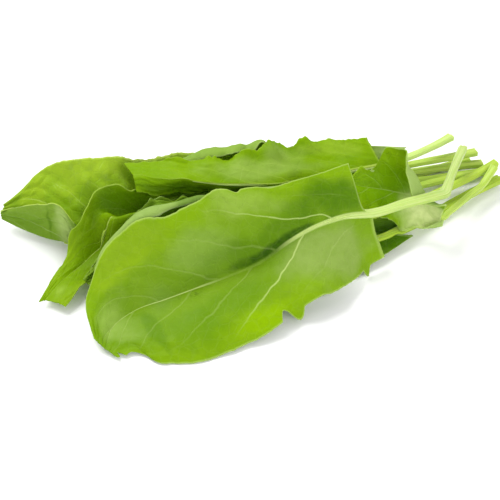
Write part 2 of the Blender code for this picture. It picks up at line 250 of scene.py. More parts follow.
def spread(field, n):
    """Largest value within n cells."""
    out = field.copy()
    for i, j in disc(n):
        out = np.maximum(out, np.roll(field, (i, j), (0, 1)))
    return out


def soften(field, n):
    """Weighted mean within n cells."""
    out, total = np.zeros_like(field), 0.0
    for i, j in disc(n):
        weight = 1 - (i * i + j * j) / (n + 1) ** 2
        out += weight * np.roll(field, (i, j), (0, 1))
        total += weight
    return out / total


def cells(points):
    return tuple(((points[..., k] - MAP_CORNER[k]) / CELL).round().astype(int) for k in (0, 1))


def read(field, points):
    """Field value at each point, blended between cells."""
    x, y = ((points[..., k] - MAP_CORNER[k]) / CELL for k in (0, 1))
    i, j = np.floor(x).astype(int), np.floor(y).astype(int)
    u, v = x - i, y - j
    return ((field[i, j] * (1 - u) + field[i + 1, j] * u) * (1 - v)
            + (field[i, j + 1] * (1 - u) + field[i + 1, j + 1] * u) * v)


def tube_samples(line, radius):
    run = lengths(line)
    at = np.arange(0, run[-1], TUBE_STEP)
    centre = np.stack([np.interp(at, run, line[:, k]) for k in range(3)], -1)
    r = np.interp(at, run, radius)
    return [(centre + np.stack([r * f * np.cos(a), r * f * np.sin(a), 0 * r], -1),
             r * np.sqrt(1 - f * f))
            for f in (0.0, 0.35, 0.7, 0.97) for a in np.arange(8) * np.pi / 4]


def height_maps(grid, line, radius, thickness=BLADE_THICKNESS, steps=7):
    """Lowest and highest point of a leaf over each cell of the table."""
    low, high = np.full(MAP_CELLS, EMPTY), np.full(MAP_CELLS, -EMPTY)
    a, b, c, d = grid[:-1, :-1], grid[:-1, 1:], grid[1:, 1:], grid[1:, :-1]
    flat = np.abs(unit(np.cross(c - a, b - d))[..., 2])
    half = thickness / 2 / np.clip(flat, 0.25, 1)
    patches = []
    for u in np.linspace(0, 1, steps):
        for v in np.linspace(0, 1, steps):
            patches.append((a * (1 - u) * (1 - v) + b * (1 - u) * v + c * u * v + d * u * (1 - v),
                            half))
    for points, reach in patches + tube_samples(line, radius):
        np.minimum.at(low, cells(points), points[..., 2] - reach)
        np.maximum.at(high, cells(points), points[..., 2] + reach)
    return low, high


def covered(field):
    """Cells that hold a height."""
    return np.abs(field) < EMPTY / 2


def room_under(leaf, grid, line, radius):
    """Height that a leaf takes up when it is pressed flat, and that its midrib takes from its blade."""
    low, _ = height_maps(grid, line, radius)
    room = np.where(covered(low), BLADE_THICKNESS + REST_GAP + 0.1, 0.0)
    bead = np.zeros(MAP_CELLS)
    rib = slice(PETIOLE_POINTS - 1, None)
    over = grid[:len(line[rib]), COLS, 2] - line[rib][:, 2] + radius[rib] - BLADE_THICKNESS / 2
    for part, height, field in ((slice(None), 2 * radius + REST_GAP, room), (rib, over, bead)):
        run = lengths(line[part])
        height = np.interp(np.arange(0, run[-1], TUBE_STEP), run, height)
        for points, _ in tube_samples(line[part], radius[part]):
            np.maximum.at(field, cells(points), height)
    return room, soften(spread(bead, 2), 1)


def settle(leaves):
    """Lay the leaves on the table and on one another: pressed down from the top of the pile, then
    each lifted clear of what lies below it. Heights change only by smooth fields over the table."""
    pile, below = [], np.zeros(MAP_CELLS)
    for leaf in leaves:
        grid = blade_sheet(leaf)
        petiole = petiole_line(leaf, grid)
        room, bead = room_under(leaf, grid, *stalk_line(leaf, grid, petiole))
        pile.append([leaf, grid, petiole, soften(below, 2), bead])
        below = below + room

    def clamp(item, floor):
        leaf, grid, petiole, _, bead = item
        ground = BLADE_THICKNESS / 2 + read(floor + bead, grid)
        grid[..., 2] = np.maximum(grid[..., 2], ground)
        petiole[:, 2] = np.maximum(petiole[:, 2], petiole_radius(leaf) + read(floor, petiole))

    def shift(item, amount):
        item[1][..., 2] += read(amount, item[1])
        item[2][..., 2] += read(amount, item[2])

    def maps(item):
        return height_maps(item[1], *stalk_line(*item[:3]))

    ceiling = np.full(MAP_CELLS, EMPTY)
    for item in reversed(pile):
        for turn in range(SETTLE_ROUNDS):
            clamp(item, item[3])
            low, high = maps(item)
            both = covered(high) & covered(ceiling)
            excess = np.where(both, high + REST_GAP + spread(-ceiling, 1), 0).clip(0)
            if turn == SETTLE_ROUNDS - 1 or excess.max() < CLEAR_ENOUGH:
                break
            shift(item, -soften(spread(excess, REACH_CELLS), REACH_CELLS))
        ceiling = np.minimum(ceiling, low)

    top = np.full(MAP_CELLS, -EMPTY)
    table = np.zeros(MAP_CELLS)
    for item in pile:
        for turn in range(SETTLE_ROUNDS):
            low, high = maps(item)
            both = covered(low) & covered(top)
            excess = np.where(both, spread(top, 1) + REST_GAP - low, 0).clip(0)
            if excess.max() < CLEAR_ENOUGH:
                break
            shift(item, soften(spread(excess, REACH_CELLS), REACH_CELLS))
            clamp(item, table)
        low, high = maps(item)
        top = np.maximum(top, high)
    return pile


laid = {item[0]["name"]: item[:3] for item in settle(LEAVES)}


# The under leaf
# The lowest leaf, flat on the table under the front one. Like all ten, it is half a millimetre
# thick and a fresh green, with a slightly waxy upper side and a paler, greyer underside. Its juicy
# ridged stalk runs on under the blade as its midrib.
SKIN = 0.5
SKIN_GAP = 0.12
TABLE_GAP = 0.02
OVERHANG = 1.2
VEIN_LEAN = 0.42
pile_top = np.full(MAP_CELLS, -EMPTY)


def sway(seed, at, octaves=5, rough=0.75):
    """Smooth random wobble along a length, about -1 to 1."""
    rng = np.random.default_rng(seed)
    out, total = 0.0, 0.0
    for k in range(octaves):
        turns, phase = k + 1 + 0.6 * rng.random(), 2 * np.pi * rng.random()
        out = out + np.sin(2 * np.pi * turns * at + phase) / (k + 1) ** rough
        total += 1 / (k + 1) ** rough
    return 1.6 * out / total


def bump_at(at, place, reach):
    """One smooth hump of height 1, that ends at reach on either side of place."""
    t = np.clip(np.abs(at - place) / reach, 0, 1)
    return (1 - t * t) ** 2


def normals_of(points):
    return unit(np.cross(np.gradient(points, axis=1), np.gradient(points, axis=0)))


def own_sheet(name, rows, cols, own):
    """The blade's middle surface in many small steps, a little past its margins, laid as the coarse
    one is. own: this leaf's finer folds and widths."""
    leaf, grid, _ = laid[name]
    shift = (grid - blade_sheet(leaf))[..., 2]
    half = cols // 2
    sheet = blade_sheet({**leaf, **own}, rows - 1, half, 1, OVERHANG)
    s = stations(rows - 1)
    q = np.linspace(-OVERHANG, OVERHANG, 2 * half + 1).clip(-1, 1)
    tall = hermite(stations(), shift, np.gradient(shift, stations(), axis=0), s)
    across = np.linspace(-1, 1, 2 * COLS + 1)
    for i in range(rows):
        sheet[i, :, 2] += np.interp(q, across, tall[i])
    return sheet


def blade_points(name, rows, cols, seed, ruffle=1.0, ruffles=9, crisp=4, nibble=0.6, quilt=0.3,
                 veins=7, swell=0.8, crumple=0.0, groove=0.35, hump=0.0, tears=(), flaps=(), **own):
    """Finer surface of one blade. ruffle, ruffles: height and number of the waves at the margin;
    crisp: how close to it they stay; nibble: how far the margin wanders; quilt: puffs between the
    side veins; swell: slow bulges; crumple: height of sharp creases; groove: depth over the midrib;
    hump: how far the midrib stands up at the base; tears: (side, place, reach, depth) bites out of
    the margin, or tabs where depth is below zero; flaps: (side, place, reach, height) where it bends
    up or down. All in millimetres, with places as shares of the length."""
    sheet = own_sheet(name, rows, cols, own)
    wide = np.linspace(-OVERHANG, OVERHANG, sheet.shape[1])
    s = stations(rows - 1)
    q = np.linspace(-1, 1, cols)[None] + np.zeros((rows, 1))
    centre = sheet.shape[1] // 2
    long = lengths(sheet[:, centre])[-1]
    width = {-1: lengths_across(sheet[:, :centre + 1]) / OVERHANG,
             1: lengths_across(sheet[:, centre:]) / OVERHANG}
    across = np.where(q < 0, width[-1][:, None], width[1][:, None])
    ends = np.sin(np.pi * s.clip(0, 1)) ** 0.5
    for side in (-1, 1):
        cut = nibble * (0.5 + 0.5 * sway(seed + side, s * long / 22, 7, 0.4)) * ends
        for where, place, reach, depth in tears:
            if where == side:
                cut = cut + depth * bump_at(s * long, place * long, reach)
        # a tab may reach out over nearly all of the overhang, a bite in to near the midrib
        share = (cut / width[side].clip(3))[:, None].clip(-0.19, 0.9)
        half = q * side > 0
        q = np.where(half, q * (1 - share * np.abs(q) ** 3), q)
    points = np.stack([[np.interp(q[i], wide, sheet[i, :, k]) for i in range(rows)]
                       for k in range(3)], -1)
    up = normals_of(points)
    edge = np.abs(q)
    lift = swell * (sway(seed + 5, s * 1.1, 3)[:, None] * sway(seed + 6, q[:1] * 0.5 + 0.4, 3)) * edge
    fold = sway(seed + 20, s[:, None] * 1.9 + q * 0.45, 5, 0.5)
    press = sway(seed + 21, s[:, None] * 2.3 - q * 0.9, 4, 0.6)
    crease = (0.5 - np.abs(fold)).clip(0) * press + 0.4 * np.abs(press) - 0.2
    lift = lift + crumple * crease * edge**0.5
    for side in (-1, 1):
        half = q * side > 0
        wave = ruffle * sway(seed + 10 + side, s * ruffles / 5, 7, 0.35) * ends
        part = wave[:, None] * edge**crisp
        for where, place, reach, height in flaps:
            if where == side:
                part = part + height * bump_at(s * long, place * long, reach)[:, None] * edge**3
        lift = lift + np.where(half, part, 0)
        # side veins leave the midrib toward the tip; the blade puffs up between them
        run = (s[:, None] - VEIN_LEAN * edge**1.2) * veins + 0.5 * (side > 0)
        puff = np.sin(np.pi * run) ** 2
        lift = lift + np.where(half, quilt * puff * np.sin(np.pi * edge.clip(0, 1)) ** 0.7, 0)
    lift = lift - groove * np.exp(-(q * across / 2.2) ** 2) * (1 - s[:, None]) ** 0.5
    lift = lift + hump * np.exp(-(q * across / 2.6) ** 2) * np.clip(1 - s[:, None] / 0.4, 0, 1) ** 1.5
    return points + up * lift[..., None]


def settle_fine(points, line, radius):
    """Lift a finished leaf where it would cut into the leaves already laid."""
    global pile_top
    for _ in range(4):
        low, high = height_maps(points, line, radius, SKIN, 3)
        both = covered(low) & covered(pile_top)
        excess = np.where(both, pile_top + SKIN_GAP - low, 0).clip(0, 4)
        floor = np.where(covered(low), TABLE_GAP - low, 0).clip(0)
        excess = np.maximum(excess, floor)
        if excess.max() < 0.03:
            break
        amount = soften(spread(excess, 2), 3)
        points[..., 2] += read(amount, points)
        line[:, 2] += read(amount, line)
    points[..., 2] = np.maximum(points[..., 2], SKIN / 2 + TABLE_GAP)
    low, high = height_maps(points, line, radius, SKIN, 3)
    pile_top = np.maximum(pile_top, high)


def select_none():
    for other in bpy.context.selected_objects:
        other.select_set(False)


def edit_whole(obj):
    """Open this object alone for editing, with its whole mesh selected."""
    select_none()
    obj.select_set(True)
    bpy.context.view_layer.objects.active = obj
    bpy.ops.object.mode_set(mode="EDIT")
    bpy.ops.mesh.select_all(action="SELECT")


def start_grid(name, rows, cols):
    """A flat grid primitive; its own UV map runs along and across the piece."""
    select_none()
    bpy.ops.mesh.primitive_grid_add(x_subdivisions=rows - 1, y_subdivisions=cols - 1, size=2)
    obj = bpy.context.object
    obj.name = obj.data.name = name
    return obj


def shape_grid(obj, points):
    """Move the primitive's vertices to the rows and columns of points."""
    rows, cols = points.shape[:2]
    flat = np.empty(len(obj.data.vertices) * 3)
    obj.data.vertices.foreach_get("co", flat)
    flat = flat.reshape(-1, 3)
    i = ((flat[:, 0] + 1) / 2 * (rows - 1)).round().astype(int)
    j = ((flat[:, 1] + 1) / 2 * (cols - 1)).round().astype(int)
    metres = (points - (*CENTRE, 0)) * 0.001
    obj.data.vertices.foreach_set("co", metres[i, j].ravel())
    obj.data.update()


class Tone:
    """A shader socket that works in Python sums."""

    def __init__(self, paint, socket):
        self.paint, self.socket = paint, socket

    def _sum(self, operation, *values):
        return self.paint.node("ShaderNodeMath", dict(operation=operation),
                               dict(enumerate(values)))

    def __add__(self, other):
        return self._sum("ADD", self, other)

    def __sub__(self, other):
        return self._sum("SUBTRACT", self, other)

    def __mul__(self, other):
        return self._sum("MULTIPLY", self, other)

    def __pow__(self, other):
        return self._sum("POWER", self, other)

    def __rsub__(self, other):
        return self._sum("SUBTRACT", other, self)

    def __abs__(self):
        return self._sum("ABSOLUTE", self)

    def fraction(self):
        return self._sum("FRACT", self)

    def larger(self, other):
        return self._sum("MAXIMUM", self, other)

    __radd__, __rmul__ = __add__, __mul__


class Paint:
    """One material and its nodes."""

    def __init__(self, name):
        self.material = bpy.data.materials.new(name)
        self.material.use_nodes = True
        self.tree = self.material.node_tree
        self.tree.nodes.clear()

    def node(self, kind, settings, sockets, out=0):
        """Add a node: its type, its settings, then what goes into its sockets."""
        made = self.tree.nodes.new(kind)
        for key, value in settings.items():
            setattr(made, key, value)
        for key, value in sockets.items():
            if isinstance(value, Tone):
                self.tree.links.new(value.socket, made.inputs[key])
            else:
                made.inputs[key].default_value = value
        return Tone(self, made.outputs[out]) if len(made.outputs) else None

    def step(self, value, low, high, start=0.0, end=1.0):
        """Smooth step from start to end as value goes from low to high."""
        return self.node("ShaderNodeMapRange", dict(interpolation_type="SMOOTHSTEP"),
                         {0: value, 1: low, 2: high, 3: start, 4: end})

    def mix(self, share, one, other):
        """Colour one, going to the other colour as share goes to 1."""
        return self.node("ShaderNodeMix", dict(data_type="RGBA"), {
            0: share,
            6: one if isinstance(one, Tone) else (*one, 1),
            7: other if isinstance(other, Tone) else (*other, 1)}, 2)

    def noise(self, where, scale, detail, rough, warp=0.0):
        return self.node("ShaderNodeTexNoise", {}, {
            "Vector": where, "Scale": scale, "Detail": detail, "Roughness": rough,
            "Distortion": warp})

    def vector(self, operation, out, *values):
        return self.node("ShaderNodeVectorMath", dict(operation=operation),
                         dict(enumerate(values)), out)

    def bump(self, strength, distance, height):
        return self.node("ShaderNodeBump", {}, {
            "Strength": strength, "Distance": distance, "Height": height})

    def surface(self, shader):
        """Put the shader on the surface, which completes the material."""
        self.node("ShaderNodeOutputMaterial", {}, {0: shader})
        return self.material


def leaf_paint(name, deep, bright, margin, vein, sheen=0.42, glow=0.3, gloss=0.06, seed=0.0, veins=7,
               rib=0.9, strong=(0.35, 0.25), tints_and_painted_light=(), shaded_rib=None, main=None, bruise=None):
    """Finish of one side of a blade. deep and bright: the two greens its colour drifts between;
    margin: the tint toward the edge; vein: midrib and side veins; sheen: roughness; glow: share of
    the light that comes through; gloss: strength of the reflections; rib, strong: how clear the
    midrib is, and the side veins on the near and the far half; tints_and_painted_light: (along,
    across, reach along, reach across, colour, strength) soft patches of colour, many of them painted
    shade, painted sheen and painted light; shaded_rib: where along the blade the pale midrib is
    faded, as painted shade in the fold; main: the number of the side vein that is clearest; bruise:
    (along, across, reach)."""
    p = Paint(name)
    uv = p.node("ShaderNodeUVMap", {"uv_map": "UVMap"}, {})
    along = p.node("ShaderNodeSeparateXYZ", {}, {0: uv})
    across = p.node("ShaderNodeSeparateXYZ", {}, {0: uv}, 1) * 2 - 1
    place = p.node("ShaderNodeTexCoord", {}, {}, 3)
    spot = p.node("ShaderNodeMapping", {}, {"Vector": place, "Location": (seed, 0.37 * seed, 0)})
    edge = abs(across)
    drift = p.noise(spot, 28, 3, 0.55, 0.4)
    speck = p.noise(spot, 260, 4, 0.6)
    wander = p.noise(spot, 55, 2, 0.5) - 0.5
    tone = p.mix(p.step(drift, 0.25, 0.75), deep, bright)
    tone = p.mix(p.step(edge + (drift - 0.5) * 0.7, 0.35, 1.05, 0, 0.75), tone, margin)
    # soft patches of colour, many of them painted shade, painted sheen and painted light
    for u, v, reach_u, reach_v, colour, strength in tints_and_painted_light:
        far = p.vector("SUBTRACT", 0, uv, (u, v, 0))
        far = p.vector("MULTIPLY", 0, far, (1 / reach_u, 1 / reach_v, 0))
        far = p.vector("LENGTH", 1, far)
        tone = p.mix(p.step(far + wander * 1.4 + (drift - 0.5) * 0.8, 1.0, 0.25, 0, strength),
                     tone, colour)
    tone = p.mix(p.step(speck, 0.35, 0.75, 0, 0.22), tone, deep)
    # veins: the midrib, its side veins and a fine net between them
    thick = (1 - along) ** 2.2 * 0.075 + 0.006
    midrib = p.step(edge + wander * 0.012, thick, thick * 0.45)
    # painted shade: the pale midrib is faded where it lies in the fold
    if shaded_rib:
        midrib = midrib * (p.step(along, shaded_rib[0], shaded_rib[1], 1, 0.12)
                           + p.step(along, shaded_rib[2], shaded_rib[3], 0, 0.8))
    flip = p.step(across, -0.001, 0.001, 0.0, 0.5)
    clear = p.step(across, -0.001, 0.001, strong[0], strong[1])
    run = (along - edge ** 1.2 * VEIN_LEAN + wander * 0.09) * veins + flip
    if main is not None:
        clear = clear + p.step(abs(run - main), 0.4, 0.2, 0, 0.5)
    near = abs((run + 0.5).fraction() - 0.5)
    side_vein = p.step(near, 0.045, 0.006) * p.step(edge, 0.95, 0.35) * p.step(along, 0.02, 0.12)
    net = p.node("ShaderNodeTexVoronoi", dict(feature="DISTANCE_TO_EDGE"),
                 {"Vector": spot, "Scale": 190.0, "Randomness": 0.9})
    web = p.step(net, 0.09, 0.0)
    rim = p.step(edge, 0.968, 0.995, 0, 0.45) + p.step(along, 0.010, 0.003, 0, 0.35)
    pale = (midrib * rib).larger(side_vein * clear + web * 0.035).larger(rim)
    tone = p.mix(pale, tone, vein)
    height = side_vein * -0.6 + web * -0.35 + speck * 0.5 + midrib * 0.2
    if bruise:
        far = p.vector("DISTANCE", 1, uv, (bruise[0], bruise[1], 0))
        mark = p.step(far + wander * 0.06, bruise[2], bruise[2] * 0.4) * p.step(speck, 0.45, 0.6)
        tone = p.mix(mark * 0.75, tone, (0.07, 0.12, 0.005))
        height = height - mark
    normal = p.bump(0.4, 0.0006, height)
    wax = p.step(speck, 0.3, 0.8, sheen - 0.05, sheen + 0.12)
    skin = p.node("ShaderNodeBsdfPrincipled", {}, {
        "Base Color": tone, "Roughness": wax, "Normal": normal, "Specular IOR Level": gloss})
    through = p.node("ShaderNodeBsdfTranslucent", {}, {0: (0.40, 0.58, 0.01, 1), 1: normal})
    leaf = p.node("ShaderNodeMixShader", {}, {0: pale * (-0.5 * glow) + glow, 1: skin, 2: through})
    return p.surface(leaf)


def add_blade(name, points, face, back):
    """Blade: the shaped grid with a skin on both sides; upper side and underside have own finishes."""
    rows, cols = points.shape[:2]
    blade = start_grid(name + "_leaf", rows, cols)
    shape_grid(blade, points)
    blade.data.materials.append(face)
    blade.data.materials.append(back)
    edit_whole(blade)
    bpy.ops.mesh.flip_normals()
    bpy.ops.object.mode_set(mode="OBJECT")
    skin = blade.modifiers.new("Skin", "SOLIDIFY")
    skin.thickness = SKIN * 0.001
    skin.offset = 0
    skin.material_offset = 1
    skin.use_rim = True
    bpy.ops.object.modifier_apply(modifier=skin.name)
    bpy.ops.object.shade_smooth()
    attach(blade, "root")
    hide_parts(name + "_blade")


def stalk_paint(name, pale, green, streak):
    """Finish of a stalk: pale and juicy, streaked along its ridges, greener in its grooves."""
    p = Paint(name)
    uv = p.node("ShaderNodeUVMap", {"uv_map": "UVMap"}, {})
    place = p.node("ShaderNodeTexCoord", {}, {}, 3)
    long = p.node("ShaderNodeMapping", {}, {"Vector": uv, "Scale": (5, 30, 1)})
    stripe = p.noise(long, 1.0, 3, 0.6)
    cloud = p.noise(place, 60, 3, 0.55)
    speck = p.noise(place, 420, 2, 0.6)
    tone = p.mix(p.step(stripe, 0.38, 0.66), green, pale)
    tone = p.mix(p.step(cloud, 0.35, 0.75, 0, 0.6), tone, streak)
    tone = p.mix(p.step(speck, 0.55, 0.8, 0, 0.25), tone, green)
    normal = p.bump(0.3, 0.0005, stripe + speck * 0.3)
    skin = p.node("ShaderNodeBsdfPrincipled", {}, {
        "Base Color": tone, "Roughness": p.step(cloud, 0.3, 0.7, 0.32, 0.46), "Normal": normal,
        "Subsurface Weight": 0.18, "Subsurface Radius": (0.5, 0.9, 0.2),
        "Subsurface Scale": 0.002, "Specular IOR Level": 0.3})
    return p.surface(skin)


def cut_paint():
    """Finish of a cut stalk end: wet, pale and finely pored, a little browned."""
    p = Paint("cut_end")
    place = p.node("ShaderNodeTexCoord", {}, {}, 3)
    pores = p.node("ShaderNodeTexVoronoi", {}, {"Vector": place, "Scale": 1500.0})
    cloud = p.noise(place, 500, 3, 0.6)
    tone = p.mix(p.step(pores, 0.15, 0.6), (0.60, 0.72, 0.34), (0.78, 0.86, 0.52))
    tone = p.mix(p.step(cloud, 0.55, 0.8, 0, 0.5), tone, (0.50, 0.46, 0.20))
    normal = p.bump(0.4, 0.0004, pores)
    skin = p.node("ShaderNodeBsdfPrincipled", {}, {
        "Base Color": tone, "Roughness": 0.3, "Normal": normal, "Specular IOR Level": 0.5})
    return p.surface(skin)


cut_end = cut_paint()


def lay_leaf(name, points, crown=0.1, path=(), kink=0.0):
    """Lay a leaf on the pile: its blade's points move, and its stalk's centre line and radius come
    back. path: the stalk's own course, if it has one; kink: how closely its points stand near the
    middle; crown: share of its radius by which the midrib sits in the blade at the base."""
    leaf, grid, petiole = laid[name]
    line, radius = stalk_line(leaf, grid, petiole)
    rib = points[:, points.shape[1] // 2]
    up = normals_of(points)[:, points.shape[1] // 2]
    s = stations(len(points) - 1)
    r = rib_radius(leaf)
    at = stations()[:len(r)]
    rib_at = np.stack([np.interp(at, s, rib[:, k]) for k in range(3)], -1)
    up_at = unit(np.stack([np.interp(at, s, up[:, k]) for k in range(3)], -1))
    under = rib_at - up_at * (r * (1 - crown * (1 - at / RIB_REACH)) + 0.05)[:, None]
    t = np.linspace(0, 1, PETIOLE_POINTS)
    if path:
        t = t + kink * np.sin(2 * np.pi * t) / 2 / np.pi
        stem = curve(np.concatenate([np.array(path, float), under[:1]]), t)
    else:
        # a fresh stalk is stiff: it bends in one slow curve
        stem = line[:PETIOLE_POINTS].copy()
        stem[-1] = under[0]
        weight = np.ones(PETIOLE_POINTS)
        weight[[0, -1]] = 9
        stem = np.stack([np.polyval(np.polyfit(t, stem[:, k], 2, w=weight), t) for k in range(3)], -1)
        stem += (under[0] - stem[-1]) * (t**2)[:, None]
        stem[:, 2] = np.maximum(stem[:, 2], radius[:PETIOLE_POINTS])
    line = np.concatenate([stem[:-1], under])
    settle_fine(points, line, radius)
    return line, radius


def add_stalk(name, line, radius, pale, green, streak, seed, broad=(1, 1), sides=28, step=2.4,
              ridge=0.05, channel=0.28, ragged=0.4):
    """Tube along the line with ridges, a channel on its upper side, and a cut end. broad: how wide it
    is against its height, from the cut end to the blade."""
    run = lengths(line)
    count = int(run[-1] / step) + 2
    fine = np.linspace(0, run[-1], count)
    centre = hermite(run, line, np.gradient(line, run, axis=0), fine)
    r = np.interp(fine, run, radius)
    along = unit(np.gradient(centre, axis=0))
    side = unit(np.cross(along, (0, 0, 1.0)))
    up = unit(np.cross(side, along))
    turn = np.linspace(0, 2 * np.pi, sides + 1)[None]
    t = (fine / run[-1])[:, None]
    shape = 1 + ridge * np.cos(7 * turn + 0.8 * np.sin(3 * t))
    shape = shape + 0.02 * sway(seed, t * 3 + 0.3 * np.cos(turn))
    shape = shape * (1 - channel * np.exp(-((np.abs(turn - np.pi / 2)) / 0.55) ** 2) * (t < 1))
    shape = shape * (1 + 0.03 * sway(seed + 3, t * 4))
    base = lengths(line)[PETIOLE_POINTS - 1] / run[-1]
    flat = np.interp(t / base, np.linspace(0, 1.2, len(broad)), broad)
    tube = (centre[:, None] + side[:, None] * (r[:, None] * shape * flat * np.cos(turn))[..., None]
            + up[:, None] * (r[:, None] * shape * np.minimum(flat, flat**-0.5)
                             * np.sin(turn))[..., None])
    # a knife leaves the end a little slanted
    slant = ragged * np.sin(turn[0] + seed) + 0.15 * sway(seed + 7, 0.4 * np.cos(turn[0]))
    tube[0] += along[0] * (slant[:, None] + ragged)
    stalk = start_grid(name + "_stem", count, sides + 1)
    tube[..., 2] = np.maximum(tube[..., 2], TABLE_GAP)
    shape_grid(stalk, tube)
    stalk.data.materials.append(stalk_paint(name + "_stem", pale, green, streak))
    stalk.data.materials.append(cut_end)
    edit_whole(stalk)
    bpy.ops.mesh.remove_doubles(threshold=1e-6)
    bpy.ops.mesh.select_all(action="SELECT")
    bpy.ops.mesh.fill_holes(sides=0)
    stalk.active_material_index = 1
    bpy.ops.mesh.select_all(action="DESELECT")
    bpy.ops.mesh.select_face_by_sides(number=6, type="GREATER")
    bpy.ops.object.material_slot_assign()
    bpy.ops.mesh.inset(thickness=0.0003, depth=-0.0001, use_boundary=True)
    bpy.ops.mesh.select_all(action="SELECT")
    bpy.ops.mesh.normals_make_consistent(inside=False)
    bpy.ops.object.mode_set(mode="OBJECT")
    bpy.ops.object.shade_smooth_by_angle(angle=math.radians(40))
    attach(stalk, "root")
    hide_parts(name + "_stalk")


points = blade_points("under", 130, 81, 11, ruffle=0.9, nibble=1.0, near_lobe=17, far_lobe=23,
                      near_turn=0.35, far_turn=0.4, near_width=(4, 16, 20, 22, 26, 26, 22, 15, 3),
                      far_width=(18, 22, 28, 32, 34, 32, 26, 18, 3), hump=1.0, crumple=0.5)
line, radius = lay_leaf("under", points, 0.5, path=((142, 82, 4), (120, 65, 4.5), (92, 42, 5)))
add_blade("under", points,
          leaf_paint("under_face", (0.07, 0.16, 0.002), (0.12, 0.25, 0.005), (0.16, 0.30, 0.005),
                     (0.50, 0.66, 0.20), seed=0.11,
                     # the dark patch over the base of the upper side is painted shade under the front
                     # leaf
                     tints_and_painted_light=((0.0, 0.4, 0.25, 0.9, (0.04, 0.11, 0.001), 0.9),)),
          leaf_paint("under_back", (0.22, 0.34, 0.06), (0.28, 0.42, 0.09), (0.32, 0.46, 0.10),
                     (0.50, 0.64, 0.26), sheen=0.6, glow=0.25, seed=0.12))
add_stalk("under", line, radius, (0.46, 0.60, 0.06), (0.25, 0.41, 0.015), (0.36, 0.51, 0.03), 21,
          broad=(1, 1.05, 1.15, 1.3, 1.45, 1.4, 1))


# The bed leaf
# A whole leaf hidden at the back of the pile, lying flat on the table and carrying the upper ones.
# Like all of them it is one blade and one stalk, grown as a single piece.
points = blade_points("bed", 100, 65, 17, ruffle=0.4)
line, radius = lay_leaf("bed", points)
add_blade("bed", points,
          leaf_paint("bed_face", (0.13, 0.27, 0.008), (0.20, 0.37, 0.01), (0.30, 0.46, 0.01),
                     (0.52, 0.66, 0.22), seed=0.21),
          leaf_paint("bed_back", (0.24, 0.36, 0.07), (0.30, 0.44, 0.09), (0.34, 0.48, 0.10),
                     (0.52, 0.65, 0.28), sheen=0.6, glow=0.25, seed=0.22))
add_stalk("bed", line, radius, (0.50, 0.62, 0.12), (0.30, 0.45, 0.03), (0.40, 0.54, 0.07), 23)


# The left leaf
# The big leaf at the left end. It lies on its side along its midrib like an open book, its far half
# leaning back and its near half standing up, so that the grey-green underside shows at the tip.
points = blade_points("left", 160, 97, 29, ruffle=0.7, nibble=0.7, quilt=0.5, swell=1.3, crumple=2.0,
                      far_width=(16, 23, 33, 41, 44, 46, 45, 35, 8),
                      near=(0, 4, 18, 50, 76, 84, 88, 88, 86),
                      near_width=(14, 20, 24, 28, 36, 38, 28, 20, 6),
                      flaps=((-1, 0.66, 11, 3.5),))
line, radius = lay_leaf("left", points)
add_blade("left", points,
          leaf_paint("left_face", (0.19, 0.38, 0.004), (0.36, 0.54, 0.012), (0.40, 0.57, 0.03),
                     (0.60, 0.74, 0.16), sheen=0.34, gloss=0.16, seed=0.31,
                     tints_and_painted_light=((0.62, 0.75, 0.12, 0.2, (0.24, 0.42, 0.004), 0.8),
                            (0.85, 0.80, 0.1, 0.2, (0.42, 0.60, 0.02), 0.6))),
          leaf_paint("left_back", (0.15, 0.28, 0.015), (0.20, 0.34, 0.03), (0.23, 0.37, 0.04),
                     (0.46, 0.60, 0.20), sheen=0.6, glow=0.22, seed=0.32,
                     tints_and_painted_light=((0.715, 0.25, 0.05, 0.6, (0.42, 0.56, 0.16), 1.0),
                            (0.765, 0.25, 0.010, 0.4, (0.08, 0.18, 0.003), 0.8))))
add_stalk("left", line, radius, (0.53, 0.65, 0.14), (0.33, 0.49, 0.04), (0.43, 0.57, 0.08), 25)


# The low leaf
# A narrow leaf that bends down to the table at the left: its end hangs as a bright strip cut off
# flat at the tip, and its far half rolls over into a hollow further up, painted dark there as
# painted shade.
points = blade_points("low", 140, 73, 37, ruffle=0.6, nibble=0.6, quilt=0.12, crumple=0.7,
                      near_width=(8, 12, 14, 14, 13, 12, 12, 13, 12),
                      far_width=(18, 26, 30, 30, 27, 20, 9, 5, 2), far_tip=3,
                      tears=((1, 0.62, 5, 2.0), (1, 0.38, 4, 1.5)), flaps=((1, 0.5, 7, -3.0),))
line, radius = lay_leaf("low", points)
add_blade("low", points,
          leaf_paint("low_face", (0.16, 0.32, 0.0005), (0.23, 0.40, 0.001), (0.28, 0.45, 0.01),
                     (0.50, 0.66, 0.12), sheen=0.4, seed=0.41, strong=(0.2, 0.15),
                     # the dark patch in the far half is painted shade inside the rolled-over hollow
                     tints_and_painted_light=((0.39, 0.85, 0.22, 0.35, (0.085, 0.19, 0.001), 0.9),
                            (0.9, 0.35, 0.1, 0.2, (0.36, 0.54, 0.06), 0.7))),
          leaf_paint("low_back", (0.22, 0.36, 0.05), (0.30, 0.45, 0.08), (0.34, 0.48, 0.10),
                     (0.52, 0.66, 0.28), sheen=0.6, glow=0.25, seed=0.42))
add_stalk("low", line, radius, (0.47, 0.61, 0.10), (0.28, 0.44, 0.03), (0.38, 0.53, 0.06), 27)


